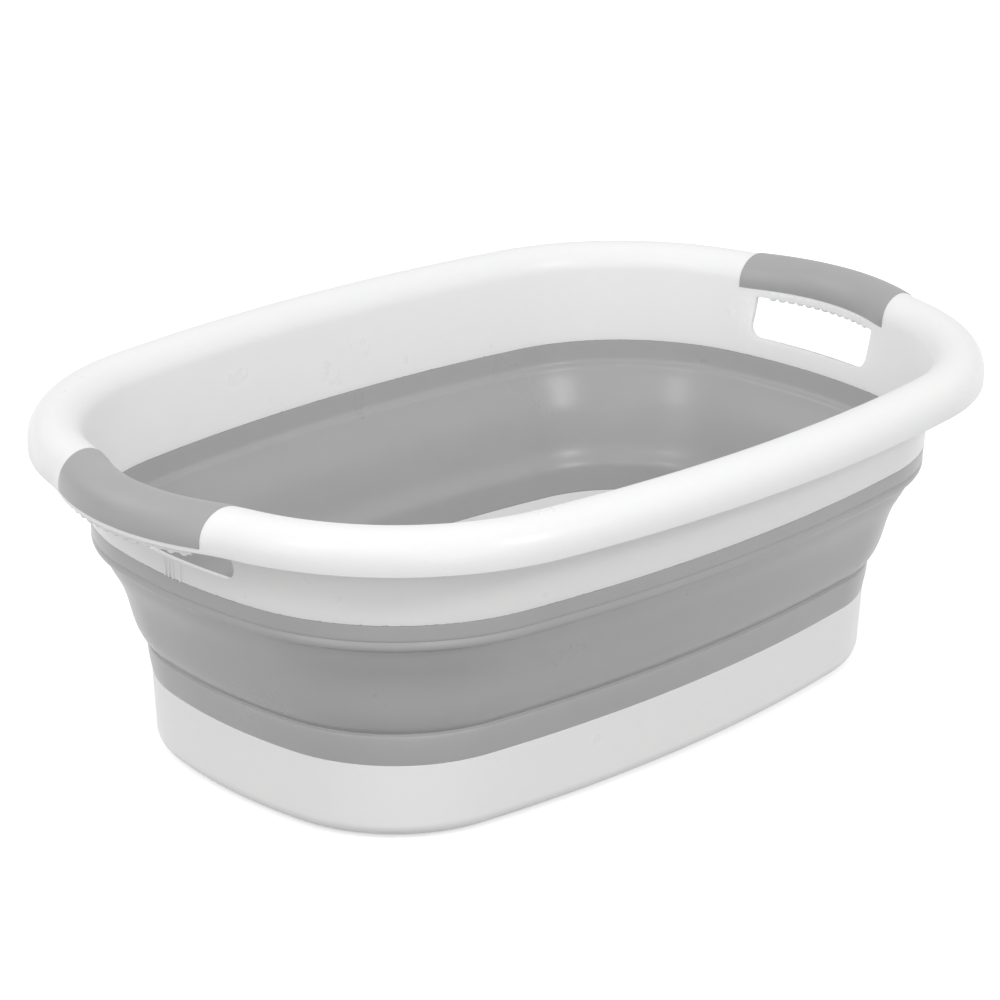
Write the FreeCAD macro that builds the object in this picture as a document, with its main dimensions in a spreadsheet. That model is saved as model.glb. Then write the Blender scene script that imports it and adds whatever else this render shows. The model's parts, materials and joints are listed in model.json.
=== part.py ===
"""Collapsible pet bathtub: a white base and a white rimmed frame joined by a grey folding wall.

Every ring of the tub follows one oval plan of tangent arcs (two sides, four corners, two ends).
The plan is drawn at the crest of the rim, and every other outline is that plan moved inwards.
At the two ends the rim bows outwards to make the handles.
Frame: +X along the length, +Z up, origin on the ground under the middle of the base. Millimetres.
"""
import FreeCAD, Part
import math
import os

import Sketcher

Vector = FreeCAD.Vector
Rotation = FreeCAD.Rotation
Placement = FreeCAD.Placement

DIMENSIONS = [
    # the oval plan at the crest of the rim
    ("crest_half_width", 184.6, "centre to crest, across"),
    ("side_arc", 1000.0, "radius of the long sides"),
    ("corner_arc", 137.5, "radius of the corners"),
    ("corner_along", 132.8, "centre to each corner's centre, along the length"),
    ("end_arc", 347.0, "radius of the ends, below the handles"),
    # the bow of each handle
    ("handle_arc", 124.4, "radius of the middle of the bow"),
    ("handle_centre", 159.7, "centre to the bow's centre, along the length"),
    ("handle_blend", 110.0, "radius of the hollow between corner and bow"),
    # rolled rim
    ("roll_height", 184.6, "ground to the centre of the roll"),
    ("roll_radius", 15.4, "outside of the roll"),
    ("roll_bore", 12.9, "inside of the roll"),
    ("skirt_height", 178.7, "ground to the rim's outer lower edge"),
    # white frame below the rim
    ("frame_wall", 2.5, "thickness of the white plastic"),
    ("frame_top_height", 186.6, "where the wall has run into the roll"),
    ("frame_top_inset", 12.9, "outer face there, inwards from the crest"),
    ("waist_height", 149.0, "where the wall starts to lean out to the handles"),
    ("waist_inset", 16.1, "outer face there"),
    ("frame_foot_height", 139.3, "where the white frame ends and the grey wall starts"),
    ("frame_foot_inset", 17.0, "outer face there"),
    # upper band of the grey wall, with the bead of the upper fold
    ("bead_top_height", 130.0, "top of the bead"),
    ("bead_low_height", 124.0, "bottom of the bead"),
    ("bead_inset", 19.2, "outer face at both ends of the bead"),
    ("bead_centre_inset", 22.4, "centre of the bead's round"),
    ("upper_fold_height", 122.0, "underside of the band"),
    ("upper_fold_inset", 20.5, "outer face there"),
    ("soft_wall", 2.0, "thickness of the grey wall"),
    # folding band
    ("ring_top_height", 121.6, "top of the folding band"),
    ("ring_top_inset", 22.9, "outer face there"),
    ("shoulder_height", 102.5, "where the band turns steeper"),
    ("shoulder_inset", 32.5, "outer face there"),
    ("knee_height", 76.0, "where it turns inwards again"),
    ("knee_inset", 39.8, "outer face there"),
    ("ring_foot_height", 65.0, "bottom of the folding band"),
    ("ring_foot_inset", 43.9, "outer face there"),
    # lower band and base
    ("lower_fold_height", 64.5, "top of the fixed lower band"),
    ("lower_fold_inset", 46.5, "outer face there"),
    ("base_rim_height", 45.0, "top of the white base"),
    ("base_rim_inset", 49.0, "outer face there"),
    ("base_underside", 1.0, "ground to the base's underside"),
    ("base_foot_height", 10.0, "where the wall turns into the rounded lower edge"),
    ("base_foot_inset", 50.6, "outer face there"),
    ("base_round_inset", 59.6, "centre of that round, as high as the foot"),
    ("base_floor_inset", 62.0, "where the wall's moulding has run into the floor"),
    ("floor_overlap", 1.0, "how far the floor's plate runs into it"),
    ("base_wall", 2.5, "thickness of the base's wall at its top"),
    ("floor_height", 4.0, "ground to the tub's floor"),
    # hand openings, grips and finger bars
    ("window_half_width", 47.0, "half the hand opening"),
    ("window_sill_height", 148.0, "bottom of the hand opening"),
    ("window_head_height", 176.5, "top of the hand opening"),
    ("window_round", 8.0, "rounding of its lower corners"),
    ("grip_half_length", 58.0, "half the soft grip, across the tub"),
    ("grip_radius", 15.9, "outside of the grip"),
    ("grip_bore", 14.0, "inside of the grip"),
    ("grip_edge_height", 181.5, "lower edges of the grip"),
    ("bar_half_length", 46.5, "half the finger bar, across the tub"),
    ("bar_top_height", 181.0, "top of the finger bar"),
    ("bar_low_height", 177.0, "underside of the bar"),
    ("finger_low_height", 174.6, "underside of the finger bumps"),
    ("finger_pitch", 10.0, "spacing of the bumps"),
    ("finger_round", 5.0, "radius of a bump"),
    # drain and feet
    ("drain_along", 150.0, "drain to the middle of the tub"),
    ("drain_radius", 16.0, "drain hole"),
    ("plug_radius", 15.7, "plug's stem"),
    ("plug_low_height", 1.5, "ground to the plug's underside"),
    ("plug_flange", 21.0, "radius of the plug's flange"),
    ("flange_height", 6.5, "top of the flange"),
    ("tab_half_width", 7.0, "half the pull tab"),
    ("tab_height", 14.0, "ground to the top of the pull tab"),
    ("tab_hole", 3.0, "radius of the finger hole in it"),
    ("tab_thickness", 3.0, "thickness of the pull tab"),
    ("pad_radius", 15.0, "non-slip pad"),
    ("pad_height", 2.0, "thickness of a pad, half of it sunk in the base"),
    ("pad_along", 130.0, "pads to the middle, along the length"),
    ("pad_across", 75.0, "pads to the middle, across"),
    # the blanks that cut the rings at each end
    ("past_the_end", 400.0, "from the middle of the tub to beyond its rim"),
]
FINGERS = 9
RADIUS_CELL = {
    "side": "side_arc",
    "corner": "corner_arc",
    "end": "end_arc",
    "bow": "handle_arc",
    "hollow": "handle_blend",
}
PAD_PLACES = {
    "pad_front_left": (-1, -1),
    "pad_front_right": (1, -1),
    "pad_back_left": (-1, 1),
    "pad_back_right": (1, 1),
}

doc = FreeCAD.newDocument("pet_bathtub")
dims = doc.addObject("Spreadsheet::Sheet", "dims")
for row, (alias, value, note) in enumerate(DIMENSIONS, start=1):
    dims.set("A%d" % row, note)
    dims.set("B%d" % row, str(value))
    dims.setAlias("B%d" % row, alias)
doc.recompute()


def size(alias):
    """The value of one driving dimension."""
    return float(dims.get(alias))


# ---------------------------------------------------------------- the oval plan


def plan_centres():
    """Centres of the top side, the north-east corner and the right end."""
    side = Vector(0, size("crest_half_width") - size("side_arc"), 0)
    reach = size("side_arc") - size("corner_arc")
    out = size("corner_along")
    corner = Vector(out, side.y + math.sqrt(reach**2 - out**2), 0)
    reach = size("end_arc") - size("corner_arc")
    end = Vector(out - math.sqrt(reach**2 - corner.y**2), 0, 0)
    return side, corner, end


def bow_centres():
    """Centres of the hollow and of the bow at the right end."""
    corner = plan_centres()[1]
    bow = Vector(size("handle_centre"), 0, 0)
    from_corner = size("corner_arc") + size("handle_blend")
    from_bow = size("handle_arc") + size("handle_blend")
    apart = (bow - corner).Length
    along = (from_corner**2 - from_bow**2 + apart**2) / (2 * apart)
    across = math.sqrt(from_corner**2 - along**2)
    unit = (bow - corner).normalize()
    hollow = corner + unit * along + Vector(-unit.y, unit.x, 0) * across
    return hollow, bow


def heading(start, finish):
    """Angle of the line from one point to another."""
    return math.atan2(finish.y - start.y, finish.x - start.x)


def mirrored(arc, across_x, across_y):
    """The same arc reflected in the Y axis, the X axis or both."""
    kind, centre, first, last = arc
    if across_x:
        centre = Vector(-centre.x, centre.y, 0)
        first, last = math.pi - last, math.pi - first
    if across_y:
        centre = Vector(centre.x, -centre.y, 0)
        first, last = -last, -first
    return (kind, centre, first, last)


def plan_arcs(with_handles):
    """The plan's arcs, anticlockwise from the right end: (kind, centre, first angle, last angle)."""
    side, corner, end = plan_centres()
    side_angle = heading(side, corner)
    if with_handles:
        hollow, bow = bow_centres()
        turn_angle = heading(bow, hollow)
        lead_angle = heading(corner, hollow)
        dip = ("hollow", hollow, math.pi + lead_angle, math.pi + turn_angle)
        right = [mirrored(dip, False, True), ("bow", bow, -turn_angle, turn_angle), dip]
    else:
        lead_angle = heading(end, corner)
        right = [("end", end, -lead_angle, lead_angle)]
    turn = ("corner", corner, lead_angle, side_angle)
    top = ("side", side, side_angle, math.pi - side_angle)
    left = [mirrored(arc, True, False) for arc in reversed(right)]
    return (
        right
        + [turn, top, mirrored(turn, True, False)]
        + left
        + [mirrored(turn, True, True), mirrored(top, False, True), mirrored(turn, False, True)]
    )


def amount(text):
    """The value of a sum of sheet aliases, such as 'roll_height - roll_bore'."""
    total, sign = 0.0, 1
    for word in text.split():
        if word in "+-":
            sign = -1 if word == "-" else 1
        else:
            total += sign * size(word)
    return total


def cell(text):
    """The same sum as an expression on the sheet."""
    return " ".join(word if word in "+-" else "dims." + word for word in text.split())


def bind(sketch, constraint, text):
    """Adds one constraint and ties its value to a sum of sheet aliases."""
    index = sketch.addConstraint(constraint)
    sketch.setExpression("Constraints[%d]" % index, cell(text))


def pin(sketch, axis, index, place, value, text):
    """Holds a point at a signed distance from the origin along X or Y of the sketch."""
    pair = (-1, 1, index, place) if value > 0 else (index, place, -1, 1)
    bind(sketch, Sketcher.Constraint("Distance" + axis, *pair, abs(value)), text)


def new_body(name):
    body = doc.addObject("PartDesign::Body", name)
    body.Label = name
    return body


def origin_plane(body, role):
    for feature in body.Origin.OriginFeatures:
        if feature.Role == role:
            return feature
    raise RuntimeError("no origin plane " + role)


def new_sketch(body, name, role="XY_Plane", height=None):
    """An empty sketch on one of the body's own planes, raised by a sum of sheet aliases."""
    sketch = body.newObject("Sketcher::SketchObject", name)
    sketch.AttachmentSupport = [(origin_plane(body, role), "")]
    sketch.MapMode = "FlatFace"
    if height:
        sketch.setExpression("AttachmentOffset.Base.z", cell(height))
    return sketch


def outline(body, name, height=None, inset="", with_handles=False):
    """The closed oval at a height, moved inwards by an inset, as constrained tangent arcs."""
    sketch = new_sketch(body, name, height=height)
    arcs = plan_arcs(with_handles)
    outwards = {"+": "-", "-": "+"}
    for kind, centre, first, last in arcs:
        grows = amount(inset) if kind == "hollow" else -amount(inset)
        circle = Part.Circle(centre, Vector(0, 0, 1), size(RADIUS_CELL[kind]) + grows)
        sketch.addGeometry(Part.ArcOfCircle(circle, first, last))
    for index, arc in enumerate(arcs):
        after = (index + 1) % len(arcs)
        leaves = 1 if arc[0] == "hollow" else 2
        enters = 2 if arcs[after][0] == "hollow" else 1
        sketch.addConstraint(Sketcher.Constraint("Tangent", index, leaves, after, enters))
    for index, (kind, centre, first, last) in enumerate(arcs):
        words = ("+ " + inset).split() if inset else []
        if kind != "hollow":
            words = [outwards.get(word, word) for word in words]
        radius = sketch.Geometry[index].Radius
        text = " ".join([RADIUS_CELL[kind]] + words)
        bind(sketch, Sketcher.Constraint("Radius", index, radius), text)
        if kind == "side":
            sketch.addConstraint(Sketcher.Constraint("PointOnObject", index, 3, -2))
            pin(sketch, "Y", index, 3, centre.y, "side_arc - crest_half_width")
        if kind == "corner":
            pin(sketch, "X", index, 3, centre.x, "corner_along")
        if kind == "bow":
            sketch.addConstraint(Sketcher.Constraint("PointOnObject", index, 3, -1))
            pin(sketch, "X", index, 3, centre.x, "handle_centre")
    return sketch


def section(body, name, role, steps):
    """A closed section whose corners are tied to the sheet.

    Each step is (across, up) or (across, up, (axis, centre, turn)): the second kind leaves its
    corner on an arc, whose centre is held along one axis, turning left (1) or right (-1).
    """
    sketch = new_sketch(body, name, role)
    corners = [Vector(amount(step[0]), amount(step[1]), 0) for step in steps]
    starts = []
    for index, step in enumerate(steps):
        here, there = corners[index], corners[(index + 1) % len(steps)]
        starts.append((1, 2))
        if len(step) == 2:
            sketch.addGeometry(Part.LineSegment(here, there))
            continue
        axis, centre, turn = step[2]
        middle, chord = (here + there) * 0.5, there - here
        square = Vector(-chord.y, chord.x, 0)
        if axis == "X":
            shift = (amount(centre) - middle.x) / square.x
        else:
            shift = (amount(centre) - middle.y) / square.y
        hub = middle + square * shift
        circle = Part.Circle(hub, Vector(0, 0, 1), (here - hub).Length)
        ends = [heading(hub, here), heading(hub, there)][::turn]
        sketch.addGeometry(Part.ArcOfCircle(circle, *ends))
        pin(sketch, axis, index, 3, hub.x if axis == "X" else hub.y, centre)
        if turn < 0:
            starts[-1] = (2, 1)
    for index, step in enumerate(steps):
        after = (index + 1) % len(steps)
        ends = (index, starts[index][1], after, starts[after][0])
        sketch.addConstraint(Sketcher.Constraint("Coincident", *ends))
        pin(sketch, "X", index, starts[index][0], corners[index].x, step[0])
        pin(sketch, "Y", index, starts[index][0], corners[index].y, step[1])
    return sketch


def loft(body, kind, name, sections):
    """A ruled loft through outlines, from the lowest up."""
    feature = body.newObject("PartDesign::" + kind, name)
    feature.Profile = sections[0]
    feature.Sections = sections[1:]
    feature.Ruled = True
    body.Tip = feature
    return feature


def pipe(body, name, profile, path):
    """A section carried round a closed outline."""
    doc.recompute()
    feature = body.newObject("PartDesign::AdditivePipe", name)
    feature.Profile = profile
    feature.Spine = (path, ["Edge%d" % (i + 1) for i in range(len(path.Shape.Edges))])
    body.Tip = feature
    return feature


def across(inset):
    """Where an inset from the crest lies on the section plane through the middle of a long side."""
    return "crest_half_width - " + inset


# ---------------------------------------------------------------- the white upper frame


def make_frame_shell():
    """Wall and rolled rim in one moulding, with a hand opening through each end."""
    body = new_body("frame_shell")
    levels = [
        ("foot", "frame_foot_height", "frame_foot_inset", False),
        ("waist", "waist_height", "waist_inset", False),
        ("top", "frame_top_height", "frame_top_inset", True),
    ]
    outer = [outline(body, "outer_" + n, z, inset, bow) for n, z, inset, bow in levels]
    inner = [
        outline(body, "inner_" + n, z, inset + " + frame_wall", bow)
        for n, z, inset, bow in levels
    ]
    loft(body, "AdditiveLoft", "wall", outer)
    loft(body, "SubtractiveLoft", "hollow", inner)
    crest = outline(body, "crest", "roll_height", "", True)
    roll = section(
        body,
        "roll_section",
        "YZ_Plane",
        [
            ("crest_half_width + roll_radius", "roll_height", ("Y", "roll_height", 1)),
            ("crest_half_width - roll_radius", "roll_height"),
            ("crest_half_width - roll_bore", "roll_height", ("Y", "roll_height", -1)),
            ("crest_half_width + roll_bore", "roll_height"),
            ("crest_half_width + roll_bore", "skirt_height"),
            ("crest_half_width + roll_radius", "skirt_height"),
        ],
    )
    pipe(body, "roll", roll, crest)
    window = new_sketch(body, "window_section", "YZ_Plane")
    draw_window(window)
    cut = body.newObject("PartDesign::Pocket", "windows")
    cut.Profile = window
    cut.Type = "ThroughAll"
    cut.Midplane = True
    body.Tip = cut
    return body


def draw_window(sketch):
    """A hand opening: square at the head, rounded at the sill."""
    half, round_ = size("window_half_width"), size("window_round")
    sill, head = size("window_sill_height"), size("window_head_height")
    corners = [
        Vector(half, head, 0),
        Vector(-half, head, 0),
        Vector(-half, sill + round_, 0),
        Vector(-half + round_, sill, 0),
        Vector(half - round_, sill, 0),
        Vector(half, sill + round_, 0),
    ]
    up = Vector(0, 0, 1)
    left = Part.Circle(Vector(-half + round_, sill + round_, 0), up, round_)
    right = Part.Circle(Vector(half - round_, sill + round_, 0), up, round_)
    sketch.addGeometry(Part.LineSegment(corners[0], corners[1]))
    sketch.addGeometry(Part.LineSegment(corners[1], corners[2]))
    sketch.addGeometry(Part.ArcOfCircle(left, math.pi, 1.5 * math.pi))
    sketch.addGeometry(Part.LineSegment(corners[3], corners[4]))
    sketch.addGeometry(Part.ArcOfCircle(right, -0.5 * math.pi, 0))
    sketch.addGeometry(Part.LineSegment(corners[5], corners[0]))
    link = sketch.addConstraint
    link(Sketcher.Constraint("Coincident", 0, 2, 1, 1))
    link(Sketcher.Constraint("Tangent", 1, 2, 2, 1))
    link(Sketcher.Constraint("Tangent", 2, 2, 3, 1))
    link(Sketcher.Constraint("Tangent", 3, 2, 4, 1))
    link(Sketcher.Constraint("Tangent", 4, 2, 5, 1))
    link(Sketcher.Constraint("Coincident", 5, 2, 0, 1))
    link(Sketcher.Constraint("Horizontal", 0))
    link(Sketcher.Constraint("Vertical", 1))
    link(Sketcher.Constraint("Horizontal", 3))
    link(Sketcher.Constraint("Vertical", 5))
    bind(sketch, Sketcher.Constraint("Radius", 2, round_), "window_round")
    bind(sketch, Sketcher.Constraint("Radius", 4, round_), "window_round")
    pin(sketch, "X", 0, 1, half, "window_half_width")
    pin(sketch, "X", 0, 2, -half, "window_half_width")
    pin(sketch, "Y", 0, 1, head, "window_head_height")
    pin(sketch, "Y", 3, 1, sill, "window_sill_height")


def make_ring(name, steps, with_handles=False):
    """A ring of one section carried right round the tub's plan."""
    body = new_body(name)
    path = outline(body, name + "_path", with_handles=with_handles)
    profile = section(body, name + "_section", "YZ_Plane", steps)
    pipe(body, name + "_ring", profile, path)
    return body


def half_box(name, sign, half_length, low="", high=""):
    """A box over one end of the tub, used to keep only that end of a ring."""
    box = doc.addObject("Part::Box", name)
    box.setExpression("Length", "dims.past_the_end")
    box.setExpression("Width", "2 * " + cell(half_length))
    box.setExpression("Height", cell(high) + " - " + cell(low) if high else "dims.past_the_end")
    box.setExpression("Placement.Base.y", "-" + cell(half_length))
    if low:
        box.setExpression("Placement.Base.z", cell(low))
    if sign < 0:
        box.setExpression("Placement.Base.x", "-dims.past_the_end")
    return box


def common(name, base, tool):
    both = doc.addObject("Part::Common", name)
    both.Label = name
    both.Base = base
    both.Tool = tool
    return both


def fused(name, shapes):
    whole = doc.addObject("Part::MultiFuse", name)
    whole.Label = name
    whole.Shapes = shapes
    return whole


def make_grips():
    """The soft sleeves over the bow of the rim, one at each end."""
    sleeve = make_ring(
        "sleeve",
        [
            ("crest_half_width + grip_radius", "roll_height", ("Y", "roll_height", 1)),
            ("crest_half_width - grip_radius", "roll_height"),
            ("crest_half_width - grip_radius", "grip_edge_height"),
            ("crest_half_width - grip_bore", "grip_edge_height"),
            ("crest_half_width - grip_bore", "roll_height", ("Y", "roll_height", -1)),
            ("crest_half_width + grip_bore", "roll_height"),
            ("crest_half_width + grip_bore", "grip_edge_height"),
            ("crest_half_width + grip_radius", "grip_edge_height"),
        ],
        True,
    )
    grips = []
    for side, sign in (("left", -1), ("right", 1)):
        box = half_box(side + "_grip_span", sign, "grip_half_length")
        grips.append(common(side + "_grip", sleeve, box))
    return grips


def make_finger_bars():
    """The bars that close the hollow rim at each handle, with a row of bumps under them."""
    filler = make_ring(
        "filler",
        [
            ("crest_half_width + roll_bore", "bar_top_height"),
            ("crest_half_width - roll_bore", "bar_top_height"),
            ("crest_half_width - roll_bore", "finger_low_height"),
            ("crest_half_width + roll_bore", "finger_low_height"),
        ],
        True,
    )
    bars = []
    for side, sign in (("left", -1), ("right", 1)):
        slab = half_box(side + "_slab", sign, "bar_half_length", "bar_low_height", "bar_top_height")
        rolls = [slab]
        for count in range(FINGERS):
            place = count - (FINGERS - 1) / 2
            bump = doc.addObject("Part::Cylinder", "%s_finger_%d" % (side, count + 1))
            bump.setExpression("Height", "dims.past_the_end")
            bump.setExpression("Radius", "dims.finger_round")
            bump.Placement = Placement(Vector(0, 0, 0), Rotation(Vector(0, sign, 0), 90))
            bump.setExpression("Placement.Base.y", "dims.finger_pitch * %g" % place)
            bump.setExpression("Placement.Base.z", "dims.finger_low_height + dims.finger_round")
            rolls.append(bump)
        comb = fused(side + "_comb", rolls)
        bars.append(common(side + "_finger_bar", filler, comb))
    return bars


# ---------------------------------------------------------------- the grey wall


def make_upper_wall_band():
    """The grey wall below the frame, down to the bead of the upper fold."""
    return make_ring(
        "upper_wall_band",
        [
            (across("frame_foot_inset"), "frame_foot_height"),
            (across("frame_foot_inset - frame_wall"), "frame_foot_height"),
            (across("upper_fold_inset - soft_wall"), "upper_fold_height"),
            (across("upper_fold_inset"), "upper_fold_height"),
            (across("bead_inset"), "bead_low_height", ("X", across("bead_centre_inset"), 1)),
            (across("bead_inset"), "bead_top_height"),
        ],
    )


def make_middle_wall_band():
    """The sloping band that folds, between the two fold lines."""
    outer = [
        ("ring_top_inset", "ring_top_height"),
        ("shoulder_inset", "shoulder_height"),
        ("knee_inset", "knee_height"),
        ("ring_foot_inset", "ring_foot_height"),
    ]
    steps = [(across(inset), height) for inset, height in outer]
    steps += [(across(inset + " - soft_wall"), height) for inset, height in reversed(outer)]
    return make_ring("middle_wall_band", steps)


def make_lower_wall_band():
    """The grey band that stands on the white base."""
    return make_ring(
        "lower_wall_band",
        [
            (across("lower_fold_inset"), "lower_fold_height"),
            (across("lower_fold_inset - soft_wall"), "lower_fold_height"),
            (across("base_rim_inset - soft_wall"), "base_rim_height"),
            (across("base_rim_inset"), "base_rim_height"),
        ],
    )


# ---------------------------------------------------------------- the white base


def make_base_tub():
    """The rigid tub that stands on the ground, with a drain hole and four recesses for the pads."""
    body = make_ring(
        "base_tub",
        [
            (across("base_rim_inset"), "base_rim_height"),
            (across("base_rim_inset - base_wall"), "base_rim_height"),
            (
                across("base_round_inset + base_foot_height - floor_height"),
                "base_foot_height",
                ("Y", "base_foot_height", 1),
            ),
            (across("base_round_inset"), "floor_height"),
            (across("base_floor_inset"), "floor_height"),
            (across("base_floor_inset"), "base_underside"),
            (
                across("base_round_inset"),
                "base_underside",
                ("X", across("base_round_inset"), 1),
            ),
            (across("base_foot_inset"), "base_foot_height"),
        ],
    )
    plate = body.newObject("PartDesign::Pad", "floor_plate")
    plate.Profile = outline(body, "floor_line", "base_underside", "base_floor_inset - floor_overlap")
    plate.setExpression("Length", "dims.floor_height - dims.base_underside")
    body.Tip = plate
    drain = new_sketch(body, "drain_circle")
    centre = Vector(-size("drain_along"), 0, 0)
    drain.addGeometry(Part.Circle(centre, Vector(0, 0, 1), size("drain_radius")))
    bind(drain, Sketcher.Constraint("Radius", 0, size("drain_radius")), "drain_radius")
    drain.addConstraint(Sketcher.Constraint("PointOnObject", 0, 3, -1))
    pin(drain, "X", 0, 3, centre.x, "drain_along")
    hole = body.newObject("PartDesign::Pocket", "drain_hole")
    hole.Profile = drain
    hole.Type = "ThroughAll"
    hole.Midplane = True
    body.Tip = hole
    recess = new_sketch(body, "pad_circles", height="base_underside")
    for index, (along, side) in enumerate(PAD_PLACES.values()):
        centre = Vector(along * size("pad_along"), side * size("pad_across"), 0)
        recess.addGeometry(Part.Circle(centre, Vector(0, 0, 1), size("pad_radius")))
        bind(recess, Sketcher.Constraint("Radius", index, size("pad_radius")), "pad_radius")
        pin(recess, "X", index, 3, centre.x, "pad_along")
        pin(recess, "Y", index, 3, centre.y, "pad_across")
    seats = body.newObject("PartDesign::Pocket", "pad_recesses")
    seats.Profile = recess
    seats.setExpression("Length", "dims.pad_height - dims.base_underside")
    seats.Reversed = True
    body.Tip = seats
    return body


def make_pads():
    """Four soft discs that stand on the ground."""
    pads = []
    for name, (along, side) in PAD_PLACES.items():
        pad = doc.addObject("Part::Cylinder", name)
        pad.Label = name
        pad.setExpression("Radius", "dims.pad_radius")
        pad.setExpression("Height", "dims.pad_height")
        pad.setExpression("Placement.Base.x", "dims.pad_along * %d" % along)
        pad.setExpression("Placement.Base.y", "dims.pad_across * %d" % side)
        pads.append(pad)
    return pads


def make_drain_plug():
    """A soft stopper: stem in the drain hole, flange on the floor, tab to pull it by."""
    stem = doc.addObject("Part::Cylinder", "plug_stem")
    stem.setExpression("Radius", "dims.plug_radius")
    stem.setExpression("Height", "dims.floor_height - dims.plug_low_height")
    stem.setExpression("Placement.Base.z", "dims.plug_low_height")
    flange = doc.addObject("Part::Cylinder", "plug_flange_disc")
    flange.setExpression("Radius", "dims.plug_flange")
    flange.setExpression("Height", "dims.flange_height - dims.floor_height")
    flange.setExpression("Placement.Base.z", "dims.floor_height")
    tab = doc.addObject("Part::Box", "plug_tab")
    tab.setExpression("Length", "dims.tab_thickness")
    tab.setExpression("Width", "2 * dims.tab_half_width")
    tab.setExpression("Height", "dims.tab_height - dims.flange_height")
    tab.setExpression("Placement.Base.x", "-dims.drain_along - dims.tab_thickness / 2")
    tab.setExpression("Placement.Base.y", "-dims.tab_half_width")
    tab.setExpression("Placement.Base.z", "dims.flange_height")
    for disc in (stem, flange):
        disc.setExpression("Placement.Base.x", "-dims.drain_along")
    whole = fused("plug_blank", [stem, flange, tab])
    hole = doc.addObject("Part::Cylinder", "tab_opening")
    hole.setExpression("Radius", "dims.tab_hole")
    hole.setExpression("Height", "2 * dims.tab_thickness")
    hole.Placement = Placement(Vector(0, 0, 0), Rotation(Vector(0, 1, 0), 90))
    hole.setExpression("Placement.Base.x", "-dims.drain_along - dims.tab_thickness")
    hole.setExpression("Placement.Base.z", "(dims.tab_height + dims.flange_height) / 2")
    plug = doc.addObject("Part::Cut", "drain_plug")
    plug.Label = "drain_plug"
    plug.Base = whole
    plug.Tool = hole
    return plug


# ---------------------------------------------------------------- assembly and export

grips = make_grips()
sleeves = fused("both_grips", grips)
upper_frame = doc.addObject("Part::Cut", "upper_frame")
upper_frame.Label = "upper_frame"
upper_frame.Base = make_frame_shell()
upper_frame.Tool = sleeves

nodes = [upper_frame, *grips, *make_finger_bars()]
nodes += [make_upper_wall_band(), make_middle_wall_band(), make_lower_wall_band()]
nodes += [make_base_tub(), make_drain_plug(), *make_pads()]
doc.recompute()

for item in doc.Objects:
    if any(state in ("Invalid", "Error") for state in item.State):
        raise RuntimeError("%s failed to recompute: %s" % (item.Name, item.State))
for node in nodes:
    if node.Shape.isNull() or not node.Shape.isValid() or len(node.Shape.Solids) != 1:
        raise RuntimeError("%s has no sound solid" % node.Label)

os.makedirs("parts", exist_ok=True)
for node in nodes:
    node.Shape.exportStep("parts/%s.step" % node.Label)
    print("%-18s %9.1f mm3" % (node.Label, node.Shape.Volume))
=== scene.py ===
"""Folding pet bathtub: the finished pieces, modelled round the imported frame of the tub.

Frame: +X along the tub's length, +Z up, origin on the ground under the middle of the base. Metres.
"""
import json
import math

import bpy
from mathutils import Matrix, Vector

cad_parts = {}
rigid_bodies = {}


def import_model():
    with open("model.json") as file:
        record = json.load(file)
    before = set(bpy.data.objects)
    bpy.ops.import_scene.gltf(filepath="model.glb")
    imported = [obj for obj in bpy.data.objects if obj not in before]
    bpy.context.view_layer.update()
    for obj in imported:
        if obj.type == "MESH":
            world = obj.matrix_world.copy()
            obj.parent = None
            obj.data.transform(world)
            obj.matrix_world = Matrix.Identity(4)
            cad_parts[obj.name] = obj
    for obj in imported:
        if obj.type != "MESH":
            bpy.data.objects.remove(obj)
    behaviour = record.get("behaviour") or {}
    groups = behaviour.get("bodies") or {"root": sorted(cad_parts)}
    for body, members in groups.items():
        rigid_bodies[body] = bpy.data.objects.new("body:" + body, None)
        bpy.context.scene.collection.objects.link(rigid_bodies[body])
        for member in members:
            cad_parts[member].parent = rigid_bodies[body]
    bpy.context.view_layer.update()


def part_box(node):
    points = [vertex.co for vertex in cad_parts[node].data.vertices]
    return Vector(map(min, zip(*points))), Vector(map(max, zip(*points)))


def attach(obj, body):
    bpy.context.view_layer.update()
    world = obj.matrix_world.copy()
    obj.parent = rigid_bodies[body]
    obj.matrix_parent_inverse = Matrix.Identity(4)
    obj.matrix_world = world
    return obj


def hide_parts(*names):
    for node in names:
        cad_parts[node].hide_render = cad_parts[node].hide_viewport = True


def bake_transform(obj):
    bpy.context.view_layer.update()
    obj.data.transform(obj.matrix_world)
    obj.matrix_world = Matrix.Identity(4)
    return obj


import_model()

bl_info = {
    "name": "Folding Pet Bathtub",
    "version": (1, 0, 0),
    "blender": (4, 5, 0),
    "location": "View3D > Sidebar > Bathtub",
    "description": "Models a folding pet bathtub piece by piece",
    "category": "Add Mesh",
}

MM = 0.001
MERGE_WITHIN = 0.01 * MM
SAME_PLACE = 0.1 * MM

# ---------------------------------------------------------------- sizes taken from the frame

RIM_RADIUS = 15.4 * MM
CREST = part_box("upper_frame")[1].y - RIM_RADIUS
ROLL_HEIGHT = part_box("upper_frame")[1].z - RIM_RADIUS
FRAME_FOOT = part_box("upper_frame")[0].z
BASE_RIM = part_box("base_tub")[1].z
GRIP_HALF_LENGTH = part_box("right_grip")[1].y
GRIP_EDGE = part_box("right_grip")[0].z
GRIP_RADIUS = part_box("right_grip")[1].z - ROLL_HEIGHT
BAR_HALF_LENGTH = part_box("right_finger_bar")[1].y
BAR_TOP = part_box("right_finger_bar")[1].z
FINGER_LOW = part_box("right_finger_bar")[0].z
PLUG_LOW, PLUG_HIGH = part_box("drain_plug")
PAD_NODES = ("pad_front_left", "pad_front_right", "pad_back_left", "pad_back_right")

# ---------------------------------------------------------------- the oval plan at the rim's crest

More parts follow.
